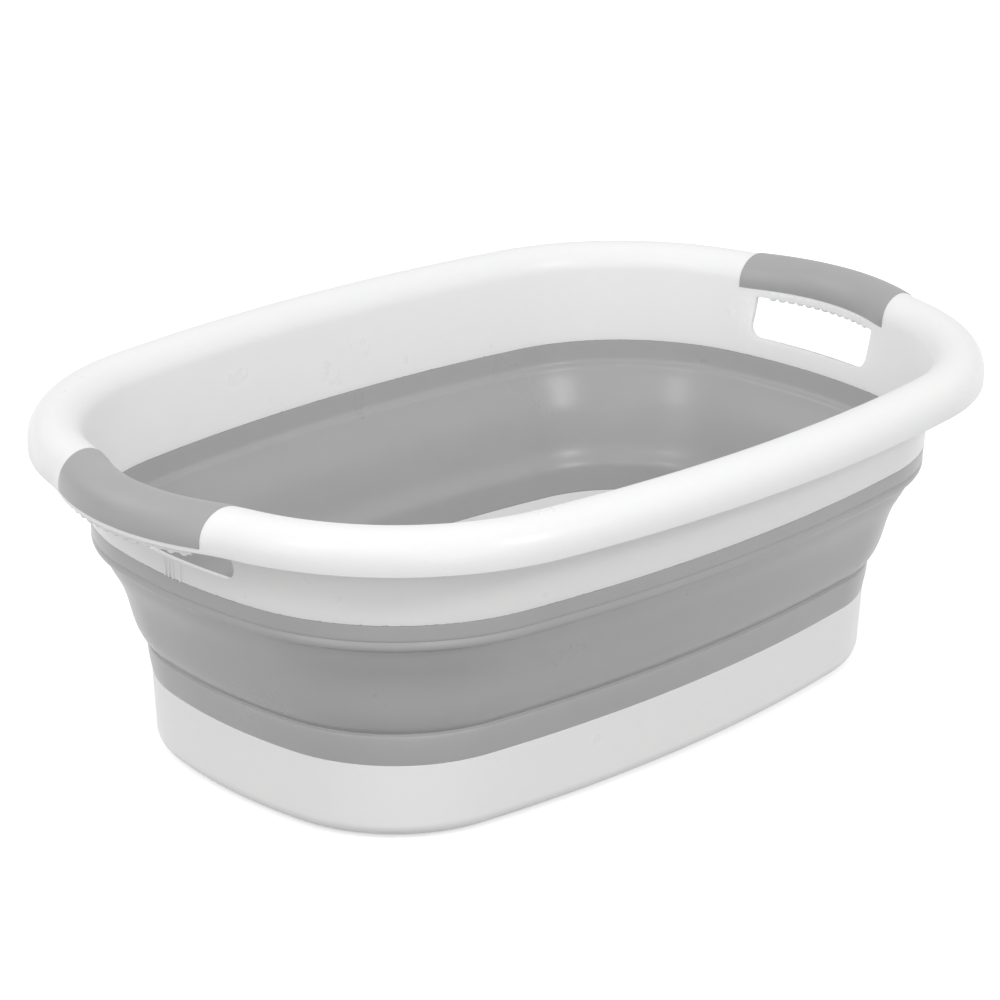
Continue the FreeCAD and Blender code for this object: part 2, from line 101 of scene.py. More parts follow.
SIDE_ARC = 1000 * MM
CORNER_ARC = 137.5 * MM
CORNER_ALONG = 132.8 * MM
END_ARC = 347 * MM
BOW_ARC = 124.4 * MM
BOW_ALONG = 159.7 * MM
HOLLOW_ARC = 110 * MM
TURN_STEPS = 24
SIDE_STEPS, CORNER_STEPS, BLEND_STEPS, BOW_STEPS = 8, 26, 4, 10

# ---------------------------------------------------------------- sections: (inset from crest, height), mm

WAIST = (18.6, 149.0)
RIM_EDGE = (15.7, 180.6)
SKIRT_HEIGHT = 178.7
WALL_OUTSIDE = (
    (17.0, 139.3), (17.0, 138.8), (17.1, 136.0), (17.4, 131.4), (17.6, 130.2),
    (18.3, 129.6), (17.8, 129.0), (17.2, 127.6), (17.6, 125.4), (19.0, 123.9),
    (21.3, 123.2), (23.0, 121.0), (24.3, 117.0), (26.8, 112.0), (29.8, 107.0),
    (32.4, 102.0), (34.6, 96.0), (36.6, 89.0), (38.4, 81.0), (40.6, 74.5),
    (43.2, 69.6), (45.8, 66.4), (47.7, 64.8), (48.1, 64.2), (47.9, 63.7),
    (47.2, 63.4), (46.7, 62.8), (46.6, 61.5), (46.9, 57.0), (47.9, 51.0),
    (48.9, 45.5), (49.0, 45.0),
)
WALL_INSIDE = (
    (51.6, 48.0), (51.5, 48.5), (51.2, 52.0), (50.9, 57.0), (50.7, 61.0),
    (50.4, 63.8), (49.2, 66.6), (46.8, 69.6), (44.4, 73.4), (42.5, 78.4),
    (40.6, 85.0), (38.4, 91.5), (36.1, 98.5), (33.4, 104.5), (30.3, 110.0),
    (27.8, 115.0), (26.0, 118.6), (24.8, 121.6), (24.2, 123.3), (23.2, 124.3),
    (21.7, 124.9), (20.7, 126.1), (20.3, 128.6), (19.8, 134.0), (19.5, 138.8),
    (19.5, 139.3),
)
BASE_TOP = (49.0, 45.0)
BASE_INNER_RISE = 3.0
BASE_FOOT = (50.6, 10.0)
FOOT_ROUND = 9.0
SOLE = (71.0, 1.0)
SOLE_RECESS = (71.6, 1.3)
BOND_RAGGED = 3.6 * MM
RIB_PLACES = (7.5, 4.4, 1.2, -5.0)
RIB_HEIGHTS = (139.6, 150.0)

# ---------------------------------------------------------------- details of the pieces

ALONG_TUB = (0, math.pi / 2, 0)
PAST_BOTH_ENDS = 2.4
FOOT_LEAN = 0.9 * MM
WALL_CUTS = 7
BOND_BELOW = 0.3 * MM
RIB_SIZE = (1.4 * MM, 0.8 * MM)
RIB_ROUND = 0.25 * MM
BUMP_GAP = 0.4 * MM
BUMP_IN_WALL = 0.3 * MM
FOOT_STEPS = 10
DRAIN_TOOL_DEPTH = 40 * MM
PLUG_CLEARANCE = 0.3 * MM
PLUG_FLANGE = (4 * MM, 6.5 * MM)
PLUG_HOLLOW = 1.5 * MM
TAB_RADIUS = 7 * MM
TAB_THICKNESS = 3 * MM
TAB_MIDDLE = 5.1 * MM
PAD_CLEARANCE = 0.1 * MM
PAD_GROOVES = 3


class TubSizes(bpy.types.PropertyGroup):
    """Sizes that change the look of the tub and not its fit."""

    frame_wall: bpy.props.FloatProperty(
        name="Frame wall", description="Thickness of the white frame", default=2.5 * MM, unit="LENGTH"
    )
    base_wall: bpy.props.FloatProperty(
        name="Base wall", description="Thickness of the white base", default=2.75 * MM, unit="LENGTH"
    )
    grip_wall: bpy.props.FloatProperty(
        name="Grip wall", description="Thickness of a soft grip", default=1.9 * MM, unit="LENGTH"
    )
    edge_round: bpy.props.FloatProperty(
        name="Edge round", description="Rounding of moulded edges", default=0.5 * MM, unit="LENGTH"
    )
    window_width: bpy.props.FloatProperty(
        name="Opening width", description="Hand opening, across the tub", default=94 * MM, unit="LENGTH"
    )
    window_sill: bpy.props.FloatProperty(
        name="Opening sill", description="Ground to the hand opening", default=151.5 * MM, unit="LENGTH"
    )
    window_head: bpy.props.FloatProperty(
        name="Opening head", description="Ground to the top of the opening", default=176.5 * MM, unit="LENGTH"
    )
    window_round: bpy.props.FloatProperty(
        name="Opening round", description="Rounding of its lower corners", default=8 * MM, unit="LENGTH"
    )
    opening_edge: bpy.props.FloatProperty(
        name="Opening edge", description="Rounding along its edges", default=1.1 * MM, unit="LENGTH"
    )
    fingers: bpy.props.IntProperty(name="Fingers", description="Bumps under each handle", default=13)
    finger_radius: bpy.props.FloatProperty(
        name="Finger radius", description="Radius of a bump", default=3.2 * MM, unit="LENGTH"
    )
    drain_radius: bpy.props.FloatProperty(
        name="Drain radius", description="Radius of the drain hole", default=16 * MM, unit="LENGTH"
    )


class TubColours(bpy.types.PropertyGroup):
    """Colours of the tub's finishes."""

    frame_white: bpy.props.FloatVectorProperty(
        name="Frame", description="White plastic of the frame", default=(0.88, 0.88, 0.88), subtype="COLOR"
    )
    base_white: bpy.props.FloatVectorProperty(
        name="Base", description="White plastic of the base", default=(0.88, 0.88, 0.88), subtype="COLOR"
    )
    wall_grey: bpy.props.FloatVectorProperty(
        name="Soft wall", description="Grey of the folding wall", default=(0.41, 0.41, 0.41), subtype="COLOR"
    )
    grip_grey: bpy.props.FloatVectorProperty(
        name="Grips", description="Grey of grips, plug and pads", default=(0.38, 0.38, 0.38), subtype="COLOR"
    )
    floor_white: bpy.props.FloatVectorProperty(
        name="Floor", description="The studio floor", default=(0.92, 0.92, 0.92), subtype="COLOR"
    )


# ---------------------------------------------------------------- the plan


def heading(start, finish):
    """Angle of the line from one point to another."""
    return math.atan2(finish.y - start.y, finish.x - start.x)


def plan_centres():
    """Centres of the back side, its right corner, the right end, and the handle's hollow and bow."""
    side = Vector((0, CREST - SIDE_ARC, 0))
    reach = SIDE_ARC - CORNER_ARC
    corner = Vector((CORNER_ALONG, side.y + math.sqrt(reach**2 - CORNER_ALONG**2), 0))
    reach = END_ARC - CORNER_ARC
    end = Vector((CORNER_ALONG - math.sqrt(reach**2 - corner.y**2), 0, 0))
    bow = Vector((BOW_ALONG, 0, 0))
    from_corner = CORNER_ARC + HOLLOW_ARC
    from_bow = BOW_ARC + HOLLOW_ARC
    apart = (bow - corner).length
    along = (from_corner**2 - from_bow**2 + apart**2) / (2 * apart)
    across = math.sqrt(from_corner**2 - along**2)
    unit = (bow - corner).normalized()
    hollow = corner + unit * along + Vector((-unit.y, unit.x, 0)) * across
    return side, corner, end, hollow, bow


def quarter_plan(bowed):
    """Arcs from the middle of the back side to the middle of the right end: (centre, angle, steps)."""
    side, corner, end, hollow, bow = plan_centres()
    side_angle = heading(side, corner)
    bow_lead = heading(corner, hollow)
    end_lead = heading(end, corner)
    bow_angle = heading(bow, hollow)
    arcs = [
        (side, math.pi / 2 - side_angle, SIDE_STEPS),
        (corner, side_angle - bow_lead, CORNER_STEPS),
    ]
    if bowed:
        arcs.append((hollow, bow_lead - bow_angle, BLEND_STEPS))
        arcs.append((bow, bow_angle, BOW_STEPS))
    else:
        arcs.append((corner, bow_lead - end_lead, BLEND_STEPS // 2))
        arcs.append((end, end_lead, BOW_STEPS + BLEND_STEPS // 2))
    return arcs


def inset_at(place):
    """How far inwards from the crest's plan a place lies, with no handles."""
    side, corner, end = plan_centres()[:3]
    spot = Vector((abs(place.x), abs(place.y), 0))
    angle = heading(corner, spot)
    if angle > heading(side, corner):
        return SIDE_ARC - (spot - side).length
    if angle < heading(end, corner):
        return END_ARC - (spot - end).length
    return CORNER_ARC - (spot - corner).length


def section_point(inset_mm, height_mm):
    """A point of a section through the middle of the back side."""
    return Vector((0, CREST - inset_mm * MM, height_mm * MM))


# ---------------------------------------------------------------- modelling steps


def only(piece):
    """Makes a piece the only selected and active one."""
    bpy.ops.object.select_all(action="DESELECT")
    piece.select_set(True)
    bpy.context.view_layer.objects.active = piece


def object_mode():
    """Leaves edit mode."""
    bpy.ops.object.mode_set(mode="OBJECT")


def edit_mode():
    """Enters edit mode on the active piece."""
    bpy.ops.object.mode_set(mode="EDIT")


def deselect_all():
    """Leaves nothing selected or active, so that a new primitive starts its own object."""
    bpy.ops.object.select_all(action="DESELECT")
    bpy.context.view_layer.objects.active = None


def name_piece(name):
    """Names the object just made."""
    piece = bpy.context.object
    piece.name = name
    piece.data.name = name
    return piece


def start_point(place):
    """Adds a single point in edit mode, as the start of a section."""
    bpy.ops.mesh.primitive_plane_add(size=MM, location=(0, 0, 0))
    if bpy.context.mode == "OBJECT":
        edit_mode()
    bpy.ops.mesh.select_mode(type="VERT")
    bpy.ops.mesh.merge(type="CENTER")
    bpy.ops.transform.translate(value=place)


def extrude_by(offset):
    """Extrudes the selection by an offset."""
    bpy.ops.mesh.extrude_region_move(TRANSFORM_OT_translate={"value": offset})


def draw_line(points):
    """Extrudes the selected point along a line, from its first point to its last."""
    for here, there in zip(points, points[1:]):
        extrude_by(there - here)


def carry(arcs):
    """Spins the section that is linked to the selection along the arcs of a plan."""
    bpy.ops.mesh.select_linked()
    for centre, angle, steps in arcs:
        bpy.ops.mesh.spin(steps=steps, angle=angle, center=centre, axis=(0, 0, 1))


def apply_modifier(piece, kind, **settings):
    """Adds a modifier with its settings and applies it."""
    only(piece)
    bpy.ops.object.modifier_add(type=kind)
    modifier = piece.modifiers[-1]
    for setting, value in settings.items():
        setattr(modifier, setting, value)
    bpy.ops.object.modifier_apply(modifier=modifier.name)


def mirror_quarter(piece, both=True):
    """Mirrors a quarter of the tub across its two middle planes, or a half across its length."""
    bpy.ops.mesh.select_all(action="SELECT")
    bpy.ops.mesh.remove_doubles(threshold=MERGE_WITHIN)
    object_mode()
    apply_modifier(piece, "MIRROR", use_axis=(both, True, False), merge_threshold=MERGE_WITHIN)


def face_outwards(piece):
    """Turns the faces of a closed solid outwards."""
    only(piece)
    edit_mode()
    bpy.ops.mesh.select_all(action="SELECT")
    bpy.ops.mesh.normals_make_consistent(inside=False)
    object_mode()


def face_side(piece, wanted):
    """Turns a sheet so that its highest face looks up, or its lowest down."""
    face_outwards(piece)
    ends = sorted(piece.data.polygons, key=lambda face: face.center.z)
    face = ends[-1] if wanted > 0 else ends[0]
    if face.normal.z * wanted < 0:
        edit_mode()
        bpy.ops.mesh.flip_normals()
        object_mode()


def thicken(piece, thickness):
    """Gives a sheet its thickness, away from the side that its faces look to."""
    apply_modifier(piece, "SOLIDIFY", thickness=thickness, offset=-1, use_even_offset=True)


def round_edges(piece, width, sharper_than=50):
    """Rounds every sharp edge of a piece."""
    apply_modifier(
        piece, "BEVEL", width=width, segments=3, limit_method="ANGLE", angle_limit=math.radians(sharper_than)
    )


def cut(piece, tool, keep_tool=False):
    """Takes one solid out of another."""
    apply_modifier(piece, "BOOLEAN", operation="DIFFERENCE", solver="EXACT", object=tool)
    if not keep_tool:
        bpy.data.objects.remove(tool)


def weld(piece, other):
    """Joins another solid to a piece as one moulding."""
    apply_modifier(piece, "BOOLEAN", operation="UNION", solver="EXACT", object=other)
    bpy.data.objects.remove(other)


def join(pieces):
    """Makes one object of several."""
    only(pieces[0])
    for piece in pieces:
        piece.select_set(True)
    bpy.ops.object.join()
    return pieces[0]


def select_where(piece, kind, wanted):
    """In edit mode, selects the vertices, edges or faces whose points all pass a test of place."""
    object_mode()
    only(piece)
    edit_mode()
    bpy.ops.mesh.select_mode(type=kind)
    bpy.ops.mesh.select_all(action="DESELECT")
    object_mode()
    mesh = piece.data
    if kind == "VERT":
        for vertex in mesh.vertices:
            vertex.select = wanted(vertex.co)
    else:
        items = mesh.edges if kind == "EDGE" else mesh.polygons
        for item in items:
            item.select = all(wanted(mesh.vertices[index].co) for index in item.vertices)
    edit_mode()


def keep_open_edges(piece):
    """Leaves only the open edges of the selection selected."""
    object_mode()
    uses = {}
    for face in piece.data.polygons:
        for key in face.edge_keys:
            uses[key] = uses.get(key, 0) + 1
    for edge in piece.data.edges:
        edge.select = edge.select and uses.get(edge.key, 0) == 1
    edit_mode()


def tidy_mesh(piece, smooth_under=35):
    """Merges stray points and shades the piece smooth between its edges."""
    only(piece)
    edit_mode()
    bpy.ops.mesh.select_all(action="SELECT")
    bpy.ops.mesh.remove_doubles(threshold=MERGE_WITHIN)
    bpy.ops.mesh.dissolve_degenerate(threshold=MERGE_WITHIN)
    object_mode()
    bpy.ops.object.shade_smooth_by_angle(angle=math.radians(smooth_under))


def settle(piece, body, slot, material, *nodes):
    """Finishes a piece: its material, the body it rides on and the CAD nodes it stands for."""
    piece.data.materials.clear()
    piece.data.materials.append(material)
    if body:
        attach(piece, body)
    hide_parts(*nodes)


def place_mesh(piece):
    """Moves a piece's place into its mesh."""
    only(piece)
    bpy.ops.object.transform_apply(location=True, rotation=True, scale=True)


def copy_piece(piece, name):
    """A copy of a piece with its own mesh."""
    only(piece)
    bpy.ops.object.duplicate(linked=False)
    return name_piece(name)


def turned_twin(piece, name):
    """A copy of a piece, half a turn round the middle of the tub."""
    twin = copy_piece(piece, name)
    bpy.ops.transform.rotate(value=math.pi, orient_axis="Z", center_override=(0, 0, 0))
    place_mesh(twin)
    return twin


def add_cylinder(name, radius, depth, place, vertices=64, rotation=(0, 0, 0)):
    """Adds a cylinder as a piece of its own, with its place in its mesh."""
    deselect_all()
    bpy.ops.mesh.primitive_cylinder_add(
        vertices=vertices, radius=radius, depth=depth, location=place, rotation=rotation
    )
    piece = name_piece(name)
    place_mesh(piece)
    return piece


# ---------------------------------------------------------------- materials


def moulded_white(name, colour, bond_colour, bond_height=-1.0):
    """Glossy moulded plastic: faint flow marks, specks, uneven gloss, a slight orange peel, and below
    bond_height the ragged line where the soft grey was moulded on."""
    material = bpy.data.materials.new(name)
    material.use_nodes = True
    nodes = material.node_tree.nodes
    links = material.node_tree.links
    nodes.clear()

    colour_frame = nodes.new("NodeFrame")
    colour_frame.label = "Colour"
    gloss_frame = nodes.new("NodeFrame")
    gloss_frame.label = "Gloss"
    surface_frame = nodes.new("NodeFrame")
    surface_frame.label = "Surface"
    bond_frame = nodes.new("NodeFrame")
    bond_frame.label = "Bonding line"

    place = nodes.new("ShaderNodeTexCoord")
    place.label = "Place on the tub"
    place.location = (-1400, 0)

    flow = nodes.new("ShaderNodeTexNoise")
    flow.label = "Flow marks of the moulding"
    flow.location = (-1100, 400)
    flow.inputs["Scale"].default_value = 7
    flow.inputs["Detail"].default_value = 4
    flow.inputs["Distortion"].default_value = 1.2

    flow_tint = nodes.new("ShaderNodeMapRange")
    flow_tint.label = "How much they darken"
    flow_tint.location = (-850, 400)
    flow_tint.inputs["From Min"].default_value = 0.35
    flow_tint.inputs["From Max"].default_value = 0.7
    flow_tint.inputs["To Min"].default_value = 0.0
    flow_tint.inputs["To Max"].default_value = 0.3

    mix_flow = nodes.new("ShaderNodeMix")
    mix_flow.label = "White with flow marks"
    mix_flow.location = (-600, 400)
    mix_flow.data_type = "RGBA"
    mix_flow.inputs["A"].default_value = (*colour, 1)
    mix_flow.inputs["B"].default_value = (*[0.97 * part for part in colour], 1)

    specks = nodes.new("ShaderNodeTexVoronoi")
    specks.label = "Fine specks"
    specks.location = (-1100, 150)
    specks.inputs["Scale"].default_value = 240

    speck_size = nodes.new("ShaderNodeMapRange")
    speck_size.label = "Only the middle of each cell"
    speck_size.location = (-850, 150)
    speck_size.inputs["From Min"].default_value = 0.05
    speck_size.inputs["From Max"].default_value = 0.12
    speck_size.inputs["To Min"].default_value = 0.12
    speck_size.inputs["To Max"].default_value = 0.0

    mix_specks = nodes.new("ShaderNodeMix")
    mix_specks.label = "Specked white"
    mix_specks.location = (-350, 400)
    mix_specks.data_type = "RGBA"
    mix_specks.inputs["B"].default_value = (*[0.88 * part for part in colour], 1)

    height = nodes.new("ShaderNodeSeparateXYZ")
    height.label = "Height above the ground"
    height.location = (-1100, 700)

    ragged = nodes.new("ShaderNodeTexNoise")
    ragged.label = "Ragged edge"
    ragged.location = (-1100, 900)
    ragged.inputs["Scale"].default_value = 320
    ragged.inputs["Detail"].default_value = 3

    ragged_height = nodes.new("ShaderNodeMath")
    ragged_height.label = "Height less its raggedness"
    ragged_height.location = (-850, 800)
    ragged_height.operation = "MULTIPLY_ADD"
    ragged_height.inputs[1].default_value = -BOND_RAGGED

    bond = nodes.new("ShaderNodeMapRange")
    bond.label = "Grey that crept over the white"
    bond.location = (-600, 800)
    bond.inputs["From Min"].default_value = bond_height
    bond.inputs["From Max"].default_value = bond_height + 0.15 * MM
    bond.inputs["To Min"].default_value = 0.8
    bond.inputs["To Max"].default_value = 0.0

    mix_bond = nodes.new("ShaderNodeMix")
    mix_bond.label = "White with its bonding line"
    mix_bond.location = (-200, 600)
    mix_bond.data_type = "RGBA"
    mix_bond.inputs["B"].default_value = (*bond_colour, 1)

    smears = nodes.new("ShaderNodeTexNoise")
    smears.label = "Handling smears"
    smears.location = (-1100, -100)
    smears.inputs["Scale"].default_value = 22
    smears.inputs["Detail"].default_value = 6
    smears.inputs["Roughness"].default_value = 0.65

    gloss = nodes.new("ShaderNodeMapRange")
    gloss.label = "Roughness"
    gloss.location = (-850, -100)
    gloss.inputs["From Min"].default_value = 0.3
    gloss.inputs["From Max"].default_value = 0.7
    gloss.inputs["To Min"].default_value = 0.26
    gloss.inputs["To Max"].default_value = 0.38

    wave = nodes.new("ShaderNodeTexNoise")
    wave.label = "Slight sink of the wall"
    wave.location = (-1100, -400)
    wave.inputs["Scale"].default_value = 14
    wave.inputs["Detail"].default_value = 1

    wave_bump = nodes.new("ShaderNodeBump")
    wave_bump.label = "Sink as bump"
    wave_bump.location = (-850, -400)
    wave_bump.inputs["Strength"].default_value = 0.12
    wave_bump.inputs["Distance"].default_value = 0.4 * MM

    peel = nodes.new("ShaderNodeTexNoise")
    peel.label = "Orange peel"
    peel.location = (-1100, -650)
    peel.inputs["Scale"].default_value = 900
    peel.inputs["Detail"].default_value = 2

    peel_bump = nodes.new("ShaderNodeBump")
    peel_bump.label = "Orange peel as bump"
    peel_bump.location = (-600, -550)
    peel_bump.inputs["Strength"].default_value = 0.08
    peel_bump.inputs["Distance"].default_value = 0.05 * MM

    shader = nodes.new("ShaderNodeBsdfPrincipled")
    shader.label = "Moulded plastic"
    shader.location = (-50, 100)
    shader.inputs["IOR"].default_value = 1.49
    shader.inputs["Subsurface Weight"].default_value = 0.06
    shader.inputs["Subsurface Scale"].default_value = 3 * MM

    output = nodes.new("ShaderNodeOutputMaterial")
    output.label = "Surface"
    output.location = (250, 100)

    for node in (flow, flow_tint, mix_flow, specks, speck_size, mix_specks):
        node.parent = colour_frame
    for node in (smears, gloss):
        node.parent = gloss_frame
    for node in (wave, wave_bump, peel, peel_bump):
        node.parent = surface_frame
    for node in (height, ragged, ragged_height, bond, mix_bond):
        node.parent = bond_frame

    for pattern in (flow, specks, smears, wave, peel, height, ragged):
        links.new(place.outputs["Object"], pattern.inputs["Vector"])
    links.new(flow.outputs["Fac"], flow_tint.inputs["Value"])
    links.new(flow_tint.outputs["Result"], mix_flow.inputs["Factor"])
    links.new(specks.outputs["Distance"], speck_size.inputs["Value"])
    links.new(speck_size.outputs["Result"], mix_specks.inputs["Factor"])
    links.new(mix_flow.outputs["Result"], mix_specks.inputs["A"])
    links.new(ragged.outputs["Fac"], ragged_height.inputs[0])
    links.new(height.outputs["Z"], ragged_height.inputs[2])
    links.new(ragged_height.outputs["Value"], bond.inputs["Value"])
    links.new(bond.outputs["Result"], mix_bond.inputs["Factor"])
    links.new(mix_specks.outputs["Result"], mix_bond.inputs["A"])
    links.new(mix_bond.outputs["Result"], shader.inputs["Base Color"])
    links.new(smears.outputs["Fac"], gloss.inputs["Value"])
    links.new(gloss.outputs["Result"], shader.inputs["Roughness"])
    links.new(wave.outputs["Fac"], wave_bump.inputs["Height"])
    links.new(peel.outputs["Fac"], peel_bump.inputs["Height"])
    links.new(wave_bump.outputs["Normal"], peel_bump.inputs["Normal"])
    links.new(peel_bump.outputs["Normal"], shader.inputs["Normal"])
    links.new(shader.outputs["BSDF"], output.inputs["Surface"])
    return material


def soft_grey(name, colour, rough, grain):
    """Soft satin elastomer: mottled grey, uneven gloss and a fine moulded grain."""
    material = bpy.data.materials.new(name)
    material.use_nodes = True
    nodes = material.node_tree.nodes
    links = material.node_tree.links
    nodes.clear()

    colour_frame = nodes.new("NodeFrame")
    colour_frame.label = "Colour"
    gloss_frame = nodes.new("NodeFrame")
    gloss_frame.label = "Gloss"
    surface_frame = nodes.new("NodeFrame")
    surface_frame.label = "Surface"

    place = nodes.new("ShaderNodeAttribute")
    place.label = "Place at rest"
    place.location = (-1400, 0)
    place.attribute_name = "rest_place"

    mottle = nodes.new("ShaderNodeTexNoise")
    mottle.label = "Mottling of the mix"
    mottle.location = (-1100, 400)
    mottle.inputs["Scale"].default_value = 26
    mottle.inputs["Detail"].default_value = 6
    mottle.inputs["Roughness"].default_value = 0.6

    mottle_range = nodes.new("ShaderNodeMapRange")
    mottle_range.label = "How strong it shows"
    mottle_range.location = (-850, 400)
    mottle_range.inputs["From Min"].default_value = 0.3
    mottle_range.inputs["From Max"].default_value = 0.7

    mix_mottle = nodes.new("ShaderNodeMix")
    mix_mottle.label = "Mottled grey"
    mix_mottle.location = (-600, 400)
    mix_mottle.data_type = "RGBA"
    mix_mottle.inputs["A"].default_value = (*[0.98 * part for part in colour], 1)
    mix_mottle.inputs["B"].default_value = (*[1.02 * part for part in colour], 1)

    lint = nodes.new("ShaderNodeTexVoronoi")
    lint.label = "Specks of dust"
    lint.location = (-1100, 150)
    lint.inputs["Scale"].default_value = 200

    lint_size = nodes.new("ShaderNodeMapRange")
    lint_size.label = "Only the middle of each cell"
    lint_size.location = (-850, 150)
    lint_size.inputs["From Min"].default_value = 0.04
    lint_size.inputs["From Max"].default_value = 0.1
    lint_size.inputs["To Min"].default_value = 0.2
    lint_size.inputs["To Max"].default_value = 0.0

    mix_lint = nodes.new("ShaderNodeMix")
    mix_lint.label = "Dusty grey"
    mix_lint.location = (-350, 400)
    mix_lint.data_type = "RGBA"
    mix_lint.inputs["B"].default_value = (*[1.3 * part for part in colour], 1)

    rub = nodes.new("ShaderNodeTexNoise")
    rub.label = "Rubbed patches"
    rub.location = (-1100, -100)
    rub.inputs["Scale"].default_value = 18
    rub.inputs["Detail"].default_value = 5

    gloss = nodes.new("ShaderNodeMapRange")
    gloss.label = "Roughness"
    gloss.location = (-850, -100)
    gloss.inputs["From Min"].default_value = 0.3
    gloss.inputs["From Max"].default_value = 0.7
    gloss.inputs["To Min"].default_value = rough - 0.02
    gloss.inputs["To Max"].default_value = rough + 0.03

    fine = nodes.new("ShaderNodeTexNoise")
    fine.label = "Moulded grain"
    fine.location = (-1100, -400)
    fine.inputs["Scale"].default_value = grain
    fine.inputs["Detail"].default_value = 3

    fine_bump = nodes.new("ShaderNodeBump")
    fine_bump.label = "Grain as bump"
    fine_bump.location = (-850, -400)
    fine_bump.inputs["Strength"].default_value = 0.2
    fine_bump.inputs["Distance"].default_value = 0.06 * MM

    shader = nodes.new("ShaderNodeBsdfPrincipled")
    shader.label = "Soft elastomer"
    shader.location = (-50, 100)
    shader.inputs["IOR"].default_value = 1.48

    output = nodes.new("ShaderNodeOutputMaterial")
    output.label = "Surface"
    output.location = (250, 100)

    for node in (mottle, mottle_range, mix_mottle, lint, lint_size, mix_lint):
        node.parent = colour_frame
    for node in (rub, gloss):
        node.parent = gloss_frame
    for node in (fine, fine_bump):
        node.parent = surface_frame

    for pattern in (mottle, lint, rub, fine):
        links.new(place.outputs["Vector"], pattern.inputs["Vector"])
    links.new(mottle.outputs["Fac"], mottle_range.inputs["Value"])
    links.new(mottle_range.outputs["Result"], mix_mottle.inputs["Factor"])
    links.new(lint.outputs["Distance"], lint_size.inputs["Value"])
    links.new(lint_size.outputs["Result"], mix_lint.inputs["Factor"])
    links.new(mix_mottle.outputs["Result"], mix_lint.inputs["A"])
    links.new(mix_lint.outputs["Result"], shader.inputs["Base Color"])
    links.new(rub.outputs["Fac"], gloss.inputs["Value"])
    links.new(gloss.outputs["Result"], shader.inputs["Roughness"])
    links.new(fine.outputs["Fac"], fine_bump.inputs["Height"])
    links.new(fine_bump.outputs["Normal"], shader.inputs["Normal"])
    links.new(shader.outputs["BSDF"], output.inputs["Surface"])
    return material


def keep_rest_place(piece):
    """Stores where each point is with the tub open, so that a pattern stays on a soft piece that moves."""
    rest = piece.data.attributes.new("rest_place", "FLOAT_VECTOR", "POINT")
    for point, stored in zip(piece.data.vertices, rest.data):
        stored.vector = point.co


# ---------------------------------------------------------------- the pieces


class TUB_OT_add_grips(bpy.types.Operator):
    """Add the two soft grips over the bow of the rim"""

    bl_idname = "mesh.tub_add_grips"
    bl_label = "Add grips"

    def execute(self, context):
        sizes = context.scene.tub_sizes
        colours = context.scene.tub_colours
        hollow, bow = plan_centres()[3:]
        bow_angle = heading(bow, hollow)
        roll = Vector((BOW_ALONG + BOW_ARC, 0, ROLL_HEIGHT))
        inner_edge = Vector((roll.x - GRIP_RADIUS, 0, GRIP_EDGE))
        inner_side = Vector((roll.x - GRIP_RADIUS, 0, ROLL_HEIGHT))
        deselect_all()
        start_point(inner_edge)
        draw_line([inner_edge, inner_side])
        bpy.ops.mesh.spin(steps=TURN_STEPS, angle=math.pi, center=roll, axis=(0, -1, 0))
        extrude_by(inner_edge - inner_side)
        carry([(bow, -bow_angle, BOW_STEPS), (hollow, bow_angle, BOW_STEPS)])
        grip = name_piece("right_soft_grip")
        mirror_quarter(grip, both=False)
        select_where(grip, "FACE", lambda place: True)
        for side in (1, -1):
            bpy.ops.mesh.select_all(action="SELECT")
            bpy.ops.mesh.bisect(
                plane_co=(0, side * GRIP_HALF_LENGTH, 0),
                plane_no=(0, side, 0),
                clear_outer=True,
            )
        object_mode()
        face_side(grip, 1)
        thicken(grip, sizes.grip_wall)
        round_edges(grip, 0.6 * sizes.edge_round)
        tidy_mesh(grip)
        twin = turned_twin(grip, "left_soft_grip")
        material = soft_grey("grip_elastomer", colours.grip_grey, 0.34, 1400)
        for piece, node in ((grip, "right_grip"), (twin, "left_grip")):
            keep_rest_place(piece)
            settle(piece, "top_frame", "grey_grip", material, node)
        return {"FINISHED"}


